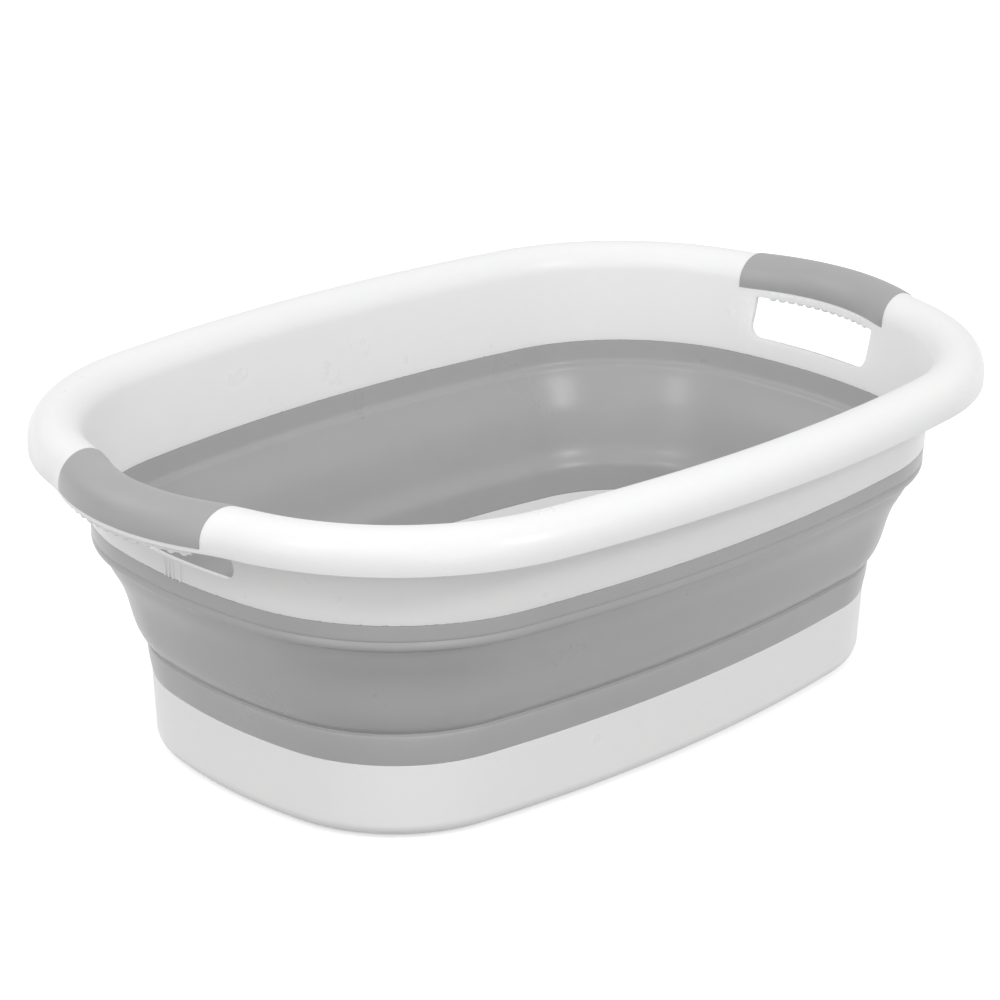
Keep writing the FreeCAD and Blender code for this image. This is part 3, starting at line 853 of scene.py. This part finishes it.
class TUB_OT_add_frame(bpy.types.Operator):
    """Add the white frame: wall, rolled rim and hand openings"""

    bl_idname = "mesh.tub_add_frame"
    bl_label = "Add frame"

    def execute(self, context):
        sizes = context.scene.tub_sizes
        colours = context.scene.tub_colours
        grips = [bpy.data.objects.get(side + "_soft_grip") for side in ("left", "right")]
        if None in grips:
            raise RuntimeError("the frame is cut to its grips, so they are added first")
        roll = Vector((0, CREST, ROLL_HEIGHT))
        rim_edge = section_point(*RIM_EDGE)
        inner_side = Vector((0, CREST - RIM_RADIUS, ROLL_HEIGHT))
        waist = section_point(*WAIST)
        foot = Vector((0, waist.y - FOOT_LEAN, FRAME_FOOT))
        deselect_all()
        start_point(rim_edge)
        draw_line([rim_edge, inner_side])
        bpy.ops.mesh.spin(steps=TURN_STEPS, angle=math.pi, center=roll, axis=(1, 0, 0))
        drop = SKIRT_HEIGHT * MM - ROLL_HEIGHT
        extrude_by((0, 0, drop))
        carry(quarter_plan(bowed=True))
        start_point(foot)
        draw_line([foot, foot.lerp(waist, 0.5), waist])
        carry(quarter_plan(bowed=False))
        piece = name_piece("white_frame")
        mirror_quarter(piece)

        def on_the_gap(place):
            at_waist = abs(place.z - waist.z) < SAME_PLACE
            return at_waist or abs(place.z - rim_edge.z) < SAME_PLACE

        select_where(piece, "EDGE", on_the_gap)
        bpy.ops.mesh.bridge_edge_loops(
            type="SINGLE", number_cuts=WALL_CUTS, interpolation="SURFACE", smoothness=1
        )
        object_mode()
        face_side(piece, 1)
        thicken(piece, sizes.frame_wall)
        round_edges(piece, sizes.edge_round)
        cut(piece, self.opening_tool(sizes))
        for grip in grips:
            cut(piece, grip, keep_tool=True)
        self.round_openings(piece, sizes)
        weld(piece, self.ribs(sizes))
        tidy_mesh(piece)
        bond_height = FRAME_FOOT - 0.5 * BOND_RAGGED - BOND_BELOW
        material = moulded_white("frame_plastic", colours.frame_white, colours.wall_grey, bond_height)
        settle(piece, "top_frame", "white_plastic", material, "upper_frame")
        return {"FINISHED"}

    def opening_tool(self, sizes):
        """A bar with rounded lower edges, as long as the tub, that cuts both hand openings."""
        deselect_all()
        low, high = sizes.window_sill, sizes.window_head
        reach = PAST_BOTH_ENDS * (BOW_ALONG + BOW_ARC)
        bpy.ops.mesh.primitive_cube_add(
            size=1, location=(0, 0, (low + high) / 2), scale=(reach, sizes.window_width, high - low)
        )
        tool = name_piece("opening_tool")
        place_mesh(tool)
        select_where(tool, "EDGE", lambda place: place.z < low + SAME_PLACE)
        self.keep_long_edges(tool)
        bpy.ops.mesh.bevel(offset=sizes.window_round, segments=8)
        select_where(tool, "EDGE", lambda place: place.z > high - SAME_PLACE)
        self.keep_long_edges(tool)
        bpy.ops.mesh.bevel(offset=2 * sizes.edge_round, segments=3)
        object_mode()
        return tool

    def ribs(self, sizes):
        """Short thin upright ribs on the wall's outside, below the hand openings."""
        end = plan_centres()[2]
        outside = END_ARC - WAIST[0] * MM + sizes.frame_wall - SAME_PLACE
        low, high = (height * MM for height in RIB_HEIGHTS)
        ribs = []
        for across in RIB_PLACES:
            y = across * MM
            wall = end.x + math.sqrt(outside**2 - y**2)
            deselect_all()
            bpy.ops.mesh.primitive_cube_add(
                size=1,
                location=(-wall, y, (low + high) / 2),
                rotation=(0, 0, math.asin(y / END_ARC)),
                scale=(*RIB_SIZE, high - low),
            )
            rib = name_piece("rib")
            place_mesh(rib)
            round_edges(rib, RIB_ROUND)
            ribs.append(rib)
        for rib in list(ribs):
            ribs.append(turned_twin(rib, "rib_far"))
        return join(ribs)

    def keep_long_edges(self, tool):
        """Leaves only the edges along the tub selected."""
        object_mode()
        points = tool.data.vertices
        for edge in tool.data.edges:
            start, finish = (points[index].co for index in edge.vertices)
            edge.select = edge.select and abs(start.y - finish.y) < SAME_PLACE
        edit_mode()

    def round_openings(self, piece, sizes):
        """Rounds the edges of the hand openings."""
        half = sizes.window_width / 2 + SAME_PLACE
        low, high = sizes.window_sill - SAME_PLACE, sizes.window_head + SAME_PLACE
        end = CORNER_ALONG

        def on_an_opening(place):
            return abs(place.x) > end and abs(place.y) < half and low < place.z < high

        select_where(piece, "EDGE", on_an_opening)
        bpy.ops.mesh.bevel(offset=sizes.opening_edge, segments=3, clamp_overlap=True)
        object_mode()


class TUB_OT_add_finger_bars(bpy.types.Operator):
    """Add the bars under the handles, each with its row of finger bumps"""

    bl_idname = "mesh.tub_add_finger_bars"
    bl_label = "Add finger bars"

    def execute(self, context):
        sizes = context.scene.tub_sizes
        colours = context.scene.tub_colours
        bow = plan_centres()[4]
        inner = RIM_RADIUS - sizes.frame_wall
        crest_end = BOW_ALONG + BOW_ARC
        bar_low = FINGER_LOW + 0.5 * sizes.finger_radius
        corners = [
            Vector((crest_end - inner, 0, BAR_TOP)),
            Vector((crest_end - inner, 0, bar_low)),
            Vector((crest_end + inner, 0, bar_low)),
            Vector((crest_end + inner, 0, BAR_TOP)),
        ]
        deselect_all()
        start_point(corners[0])
        draw_line(corners)
        bpy.ops.mesh.select_linked()
        bpy.ops.mesh.edge_face_add()
        half_turn = math.asin(BAR_HALF_LENGTH / BOW_ARC)
        bpy.ops.mesh.spin(steps=BOW_STEPS, angle=-half_turn, center=bow, axis=(0, 0, 1))
        bar = name_piece("right_finger_row")
        object_mode()
        self.close_half(bar)
        round_edges(bar, sizes.edge_round)
        weld(bar, self.finger_row(sizes, bow, crest_end, inner))
        tidy_mesh(bar)
        twin = turned_twin(bar, "left_finger_row")
        material = moulded_white("finger_bar_plastic", colours.frame_white, colours.wall_grey)
        settle(bar, "top_frame", "white_plastic", material, "right_finger_bar")
        settle(twin, "top_frame", "white_plastic", material, "left_finger_bar")
        return {"FINISHED"}

    def close_half(self, bar):
        """Drops the face at the middle, mirrors the half bar and closes it."""
        select_where(bar, "FACE", lambda place: abs(place.y) < SAME_PLACE)
        bpy.ops.mesh.delete(type="ONLY_FACE")
        mirror_quarter(bar, both=False)
        face_outwards(bar)

    def finger_row(self, sizes, bow, crest_end, inner):
        """Round-ended bumps that fan out round the centre of the bow."""
        inmost = crest_end - RIM_EDGE[0] * MM - BUMP_IN_WALL
        outmost = crest_end + inner - sizes.edge_round
        pitch = 2 * (sizes.finger_radius + BUMP_GAP) / BOW_ARC
        first = add_cylinder(
            "finger_bump",
            sizes.finger_radius,
            outmost - inmost,
            ((inmost + outmost) / 2, 0, FINGER_LOW + sizes.finger_radius),
            vertices=24,
            rotation=ALONG_TUB,
        )
        round_edges(first, 2 * sizes.edge_round)
        bumps = []
        for count in range(sizes.fingers):
            bump = copy_piece(first, "finger_bump_copy")
            turn = (count - (sizes.fingers - 1) / 2) * pitch
            bpy.ops.transform.rotate(value=turn, orient_axis="Z", center_override=bow)
            place_mesh(bump)
            bumps.append(bump)
        bpy.data.objects.remove(first)
        return join(bumps)


class TUB_OT_add_wall(bpy.types.Operator):
    """Add the grey folding wall: upper band with its bead, folding band and lower band in one"""

    bl_idname = "mesh.tub_add_wall"
    bl_label = "Add folding wall"

    def execute(self, context):
        sizes = context.scene.tub_sizes
        colours = context.scene.tub_colours
        outline = [section_point(*corner) for corner in WALL_OUTSIDE + WALL_INSIDE]
        outline.append(outline[0])
        deselect_all()
        start_point(outline[0])
        draw_line(outline)
        carry(quarter_plan(bowed=False))
        piece = name_piece("folding_wall")
        mirror_quarter(piece)
        face_outwards(piece)
        apply_modifier(piece, "SUBSURF", levels=1, render_levels=1)
        tidy_mesh(piece)
        keep_rest_place(piece)
        material = soft_grey("wall_elastomer", colours.wall_grey, 0.29, 1100)
        settle(
            piece,
            None,
            "grey_soft_plastic",
            material,
            "upper_wall_band",
            "middle_wall_band",
            "lower_wall_band",
        )
        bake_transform(piece)
        return {"FINISHED"}


class TUB_OT_add_base(bpy.types.Operator):
    """Add the white base with its drain hole and the seats of its pads"""

    bl_idname = "mesh.tub_add_base"
    bl_label = "Add base"

    def execute(self, context):
        sizes = context.scene.tub_sizes
        colours = context.scene.tub_colours
        top = section_point(*BASE_TOP)
        top.z = BASE_RIM
        foot = section_point(*BASE_FOOT)
        turn = Vector((0, foot.y - FOOT_ROUND * MM, foot.z))
        sole = section_point(*SOLE)
        recess = section_point(*SOLE_RECESS)
        deselect_all()
        start_point(top)
        draw_line([top, top.lerp(foot, 0.5), foot])
        bpy.ops.mesh.spin(steps=FOOT_STEPS, angle=math.pi / 2, center=turn, axis=(1, 0, 0))
        draw_line([Vector((0, turn.y, sole.z)), sole, recess])
        carry(quarter_plan(bowed=False))
        piece = name_piece("white_base")
        mirror_quarter(piece)
        select_where(piece, "EDGE", lambda place: (place - recess).z < SAME_PLACE)
        keep_open_edges(piece)
        bpy.ops.mesh.edge_face_add()
        object_mode()
        face_side(piece, -1)
        thicken(piece, sizes.base_wall)
        self.raise_inner_edge(piece, sizes)
        round_edges(piece, sizes.edge_round)
        cut(piece, self.drain_tool(sizes))
        for node in PAD_NODES:
            cut(piece, self.pad_tool(node))
        tidy_mesh(piece)
        material = moulded_white("base_plastic", colours.base_white, colours.wall_grey)
        settle(piece, "base", "white_plastic", material, "base_tub")
        return {"FINISHED"}

    def raise_inner_edge(self, piece, sizes):
        """Lifts the inner edge of the wall's top, where the grey wall overlaps it."""
        middle = BASE_TOP[0] * MM + sizes.base_wall / 2

        def on_inner_edge(place):
            return place.z > BASE_RIM - MM and inset_at(place) > middle

        select_where(piece, "VERT", on_inner_edge)
        bpy.ops.transform.translate(value=(0, 0, BASE_INNER_RISE * MM))
        object_mode()

    def drain_tool(self, sizes):
        """Cuts the drain hole through the floor."""
        middle = (PLUG_LOW + PLUG_HIGH) / 2
        place = (middle.x, middle.y, 0)
        return add_cylinder("drain_tool", sizes.drain_radius, DRAIN_TOOL_DEPTH, place)

    def pad_tool(self, node):
        """Cuts the seat that a pad is sunk in."""
        low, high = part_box(node)
        middle = (low + high) / 2
        radius = (high.x - low.x) / 2 + PAD_CLEARANCE
        return add_cylinder("pad_tool", radius, 2 * high.z, (middle.x, middle.y, 0))


class TUB_OT_add_plug(bpy.types.Operator):
    """Add the drain plug with its pull tab"""

    bl_idname = "mesh.tub_add_plug"
    bl_label = "Add plug"

    def execute(self, context):
        sizes = context.scene.tub_sizes
        colours = context.scene.tub_colours
        middle = (PLUG_LOW + PLUG_HIGH) / 2
        stem_radius = sizes.drain_radius - PLUG_CLEARANCE
        flange_radius = (PLUG_HIGH.x - PLUG_LOW.x) / 2
        floor, flange_top = PLUG_FLANGE
        middle_height = (floor + flange_top) / 2
        place = (middle.x, middle.y, middle_height)
        piece = add_cylinder("soft_drain_plug", flange_radius, flange_top - floor, place)
        select_where(piece, "FACE", lambda place: place.z < floor + SAME_PLACE)
        bpy.ops.mesh.inset(thickness=flange_radius - stem_radius)
        extrude_by((0, 0, PLUG_LOW.z - floor))
        bpy.ops.mesh.inset(thickness=2 * MM)
        extrude_by((0, 0, PLUG_HOLLOW))
        select_where(piece, "FACE", lambda place: place.z > flange_top - SAME_PLACE)
        bpy.ops.mesh.inset(thickness=3 * MM, depth=-0.6 * MM)
        bpy.ops.mesh.inset(thickness=8 * MM)
        bpy.ops.mesh.inset(thickness=1 * MM, depth=0.8 * MM)
        object_mode()
        round_edges(piece, 0.8 * sizes.edge_round, sharper_than=30)
        weld(piece, self.pull_tab(middle))
        tidy_mesh(piece)
        keep_rest_place(piece)
        material = soft_grey("plug_elastomer", colours.grip_grey, 0.45, 1400)
        settle(piece, "plug", "grey_soft_plastic", material, "drain_plug")
        return {"FINISHED"}

    def pull_tab(self, middle):
        """A standing disc with a finger hole, thickened at its rim."""
        centre = Vector((middle.x, middle.y, PLUG_HIGH.z - TAB_RADIUS))
        tab = add_cylinder(
            "pull_tab", TAB_RADIUS, TAB_THICKNESS, centre, vertices=48, rotation=ALONG_TUB
        )
        for side in (-1, 1):
            select_where(tab, "FACE", lambda place: side * (place.x - middle.x) > MM)
            bpy.ops.mesh.inset(thickness=1.6 * MM)
            bpy.ops.mesh.inset(thickness=0.6 * MM, depth=-0.5 * MM)
        select_where(tab, "FACE", lambda place: (place - centre).length < TAB_MIDDLE)
        bpy.ops.mesh.inset(thickness=1.4 * MM, use_individual=True)
        bpy.ops.mesh.bridge_edge_loops()
        object_mode()
        round_edges(tab, 0.3 * MM, sharper_than=30)
        return tab


class TUB_OT_add_pads(bpy.types.Operator):
    """Add the four non-slip pads under the base"""

    bl_idname = "mesh.tub_add_pads"
    bl_label = "Add pads"

    def execute(self, context):
        sizes = context.scene.tub_sizes
        colours = context.scene.tub_colours
        low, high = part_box(PAD_NODES[0])
        first_place = (low + high) / 2
        radius = (high.x - low.x) / 2
        first = add_cylinder("pad_first", radius, high.z - low.z, first_place)
        select_where(first, "FACE", lambda place: place.z < low.z + SAME_PLACE)
        bpy.ops.mesh.inset(thickness=2 * MM)
        for _ in range(PAD_GROOVES):
            bpy.ops.mesh.inset(thickness=0.5 * MM, depth=-0.5 * MM)
            bpy.ops.mesh.inset(thickness=1.2 * MM)
            bpy.ops.mesh.inset(thickness=0.5 * MM, depth=0.5 * MM)
            bpy.ops.mesh.inset(thickness=1.4 * MM)
        object_mode()
        round_edges(first, 0.3 * sizes.edge_round, sharper_than=30)
        tidy_mesh(first)
        material = soft_grey("pad_elastomer", colours.grip_grey, 0.55, 1600)
        for node in PAD_NODES:
            low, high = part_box(node)
            pad = copy_piece(first, node.replace("pad_", "soft_pad_"))
            bpy.ops.transform.translate(value=(low + high) / 2 - first_place)
            place_mesh(pad)
            keep_rest_place(pad)
            settle(pad, "base", "grey_soft_plastic", material, node)
        bpy.data.objects.remove(first)
        return {"FINISHED"}


# ---------------------------------------------------------------- stage

CAMERA_PLACE = Vector((-1.236, -1.229, 0.779))
CAMERA_LOOKS = Vector((0.6584, 0.6638, -0.3548))
CAMERA_ROLL = math.radians(0.65)
CAMERA_LENS = 115.5
CAMERA_SENSOR = 36
CAMERA_REACH = 100
FLOOR_SIZE = 200


def studio_floor(colour):
    """Matt white paint with a faint unevenness."""
    material = bpy.data.materials.new("studio_floor")
    material.use_nodes = True
    nodes = material.node_tree.nodes
    links = material.node_tree.links
    nodes.clear()

    place = nodes.new("ShaderNodeTexCoord")
    place.label = "Place on the floor"
    place.location = (-700, 0)

    uneven = nodes.new("ShaderNodeTexNoise")
    uneven.label = "Uneven paint"
    uneven.location = (-500, 0)
    uneven.inputs["Scale"].default_value = 3

    rough = nodes.new("ShaderNodeMapRange")
    rough.label = "Roughness"
    rough.location = (-300, 0)
    rough.inputs["To Min"].default_value = 0.75
    rough.inputs["To Max"].default_value = 0.85

    shader = nodes.new("ShaderNodeBsdfPrincipled")
    shader.label = "Matt white"
    shader.location = (-50, 0)
    shader.inputs["Base Color"].default_value = (*colour, 1)
    shader.inputs["Specular IOR Level"].default_value = 0.1
    shader.inputs["Emission Color"].default_value = (1, 1, 1, 1)
    shader.inputs["Emission Strength"].default_value = 0.4

    output = nodes.new("ShaderNodeOutputMaterial")
    output.label = "Surface"
    output.location = (250, 0)

    links.new(place.outputs["Object"], uneven.inputs["Vector"])
    links.new(uneven.outputs["Fac"], rough.inputs["Value"])
    links.new(rough.outputs["Result"], shader.inputs["Roughness"])
    links.new(shader.outputs["BSDF"], output.inputs["Surface"])
    return material


class TUB_OT_add_stage(bpy.types.Operator):
    """Add the floor, the soft lights and the camera"""

    bl_idname = "mesh.tub_add_stage"
    bl_label = "Add stage"

    def execute(self, context):
        colours = context.scene.tub_colours
        deselect_all()
        bpy.ops.mesh.primitive_plane_add(size=FLOOR_SIZE, location=(0, 0, 0))
        floor = name_piece("studio_floor")
        floor.data.materials.append(studio_floor(colours.floor_white))
        floor.visible_diffuse = False
        self.add_light("viewer_light", (-1.5, -1.5, 2.0), 1.5, 4)
        self.add_light("left_box", (-2.0, -0.3, 1.7), 0.4, 5)
        self.add_light("front_box", (0.33, -2.05, 1.45), 0.4, 8)
        self.add_light("low_front_box", (-0.9, -2.2, 0.6), 1.2, 6)
        self.add_light("low_left_box", (-2.3, -0.2, 0.6), 1.0, 4)
        self.add_light("back_light", (-1.2, 1.6, 1.6), 1.2, 5)
        self.light_world(context)
        self.add_camera(context)
        return {"FINISHED"}

    def add_light(self, name, place, size, power):
        """A square soft box that faces the tub."""
        bpy.ops.object.light_add(type="AREA", location=place)
        light = bpy.context.object
        light.name = name
        light.data.size = size
        light.data.energy = power
        light.rotation_euler = (Vector((0, 0, 0.1)) - Vector(place)).to_track_quat("-Z", "Y").to_euler()

    def light_world(self, context):
        """An even white room, dimmer towards the floor."""
        world = bpy.data.worlds.new("studio_light")
        context.scene.world = world
        world.use_nodes = True
        nodes = world.node_tree.nodes
        links = world.node_tree.links
        background = nodes["Background"]
        background.inputs["Color"].default_value = (1, 1, 1, 1)

        direction = nodes.new("ShaderNodeTexCoord")
        direction.label = "Direction in the room"
        direction.location = (-800, 0)

        height = nodes.new("ShaderNodeSeparateXYZ")
        height.label = "Upwards part"
        height.location = (-600, 0)

        brightness = nodes.new("ShaderNodeMapRange")
        brightness.label = "Bright ceiling and walls, dim floor"
        brightness.location = (-400, 0)
        brightness.inputs["From Min"].default_value = -0.3
        brightness.inputs["From Max"].default_value = 0.1
        brightness.inputs["To Min"].default_value = 0.22
        brightness.inputs["To Max"].default_value = 0.82

        links.new(direction.outputs["Generated"], height.inputs["Vector"])
        links.new(height.outputs["Z"], brightness.inputs["Value"])
        links.new(brightness.outputs["Result"], background.inputs["Strength"])
        context.scene.view_settings.view_transform = "Standard"

    def add_camera(self, context):
        """The camera that looks at the tub from above its front left corner."""
        bpy.ops.object.camera_add(location=CAMERA_PLACE)
        camera = bpy.context.object
        camera.name = "camera"
        look = CAMERA_LOOKS.to_track_quat("-Z", "Y").to_matrix()
        camera.rotation_euler = (look @ Matrix.Rotation(CAMERA_ROLL, 3, "Z")).to_euler()
        camera.data.lens = CAMERA_LENS
        camera.data.sensor_width = CAMERA_SENSOR
        camera.data.clip_end = CAMERA_REACH
        context.scene.camera = camera


# ---------------------------------------------------------------- panel and registration

STEPS = (
    TUB_OT_add_grips,
    TUB_OT_add_frame,
    TUB_OT_add_finger_bars,
    TUB_OT_add_wall,
    TUB_OT_add_base,
    TUB_OT_add_plug,
    TUB_OT_add_pads,
    TUB_OT_add_stage,
)


class TUB_PT_panel(bpy.types.Panel):
    """The tub's sizes, colours and steps in the sidebar"""

    bl_idname = "TUB_PT_panel"
    bl_label = "Folding bathtub"
    bl_space_type = "VIEW_3D"
    bl_region_type = "UI"
    bl_category = "Bathtub"

    def draw(self, context):
        layout = self.layout
        for group in (context.scene.tub_sizes, context.scene.tub_colours):
            box = layout.box()
            for name in group.bl_rna.properties.keys():
                if name not in ("rna_type", "name"):
                    box.prop(group, name)
        for step in STEPS:
            layout.operator(step.bl_idname)


CLASSES = (TubSizes, TubColours, *STEPS, TUB_PT_panel)


def register():
    for item in CLASSES:
        bpy.utils.register_class(item)
    bpy.types.Scene.tub_sizes = bpy.props.PointerProperty(type=TubSizes)
    bpy.types.Scene.tub_colours = bpy.props.PointerProperty(type=TubColours)


def unregister():
    del bpy.types.Scene.tub_colours
    del bpy.types.Scene.tub_sizes
    for item in reversed(CLASSES):
        bpy.utils.unregister_class(item)


def main():
    """Builds the tub and its stage."""
    register()
    bpy.ops.mesh.tub_add_grips()
    bpy.ops.mesh.tub_add_frame()
    bpy.ops.mesh.tub_add_finger_bars()
    bpy.ops.mesh.tub_add_wall()
    bpy.ops.mesh.tub_add_base()
    bpy.ops.mesh.tub_add_plug()
    bpy.ops.mesh.tub_add_pads()
    bpy.ops.mesh.tub_add_stage()


if __name__ == "__main__":
    main()
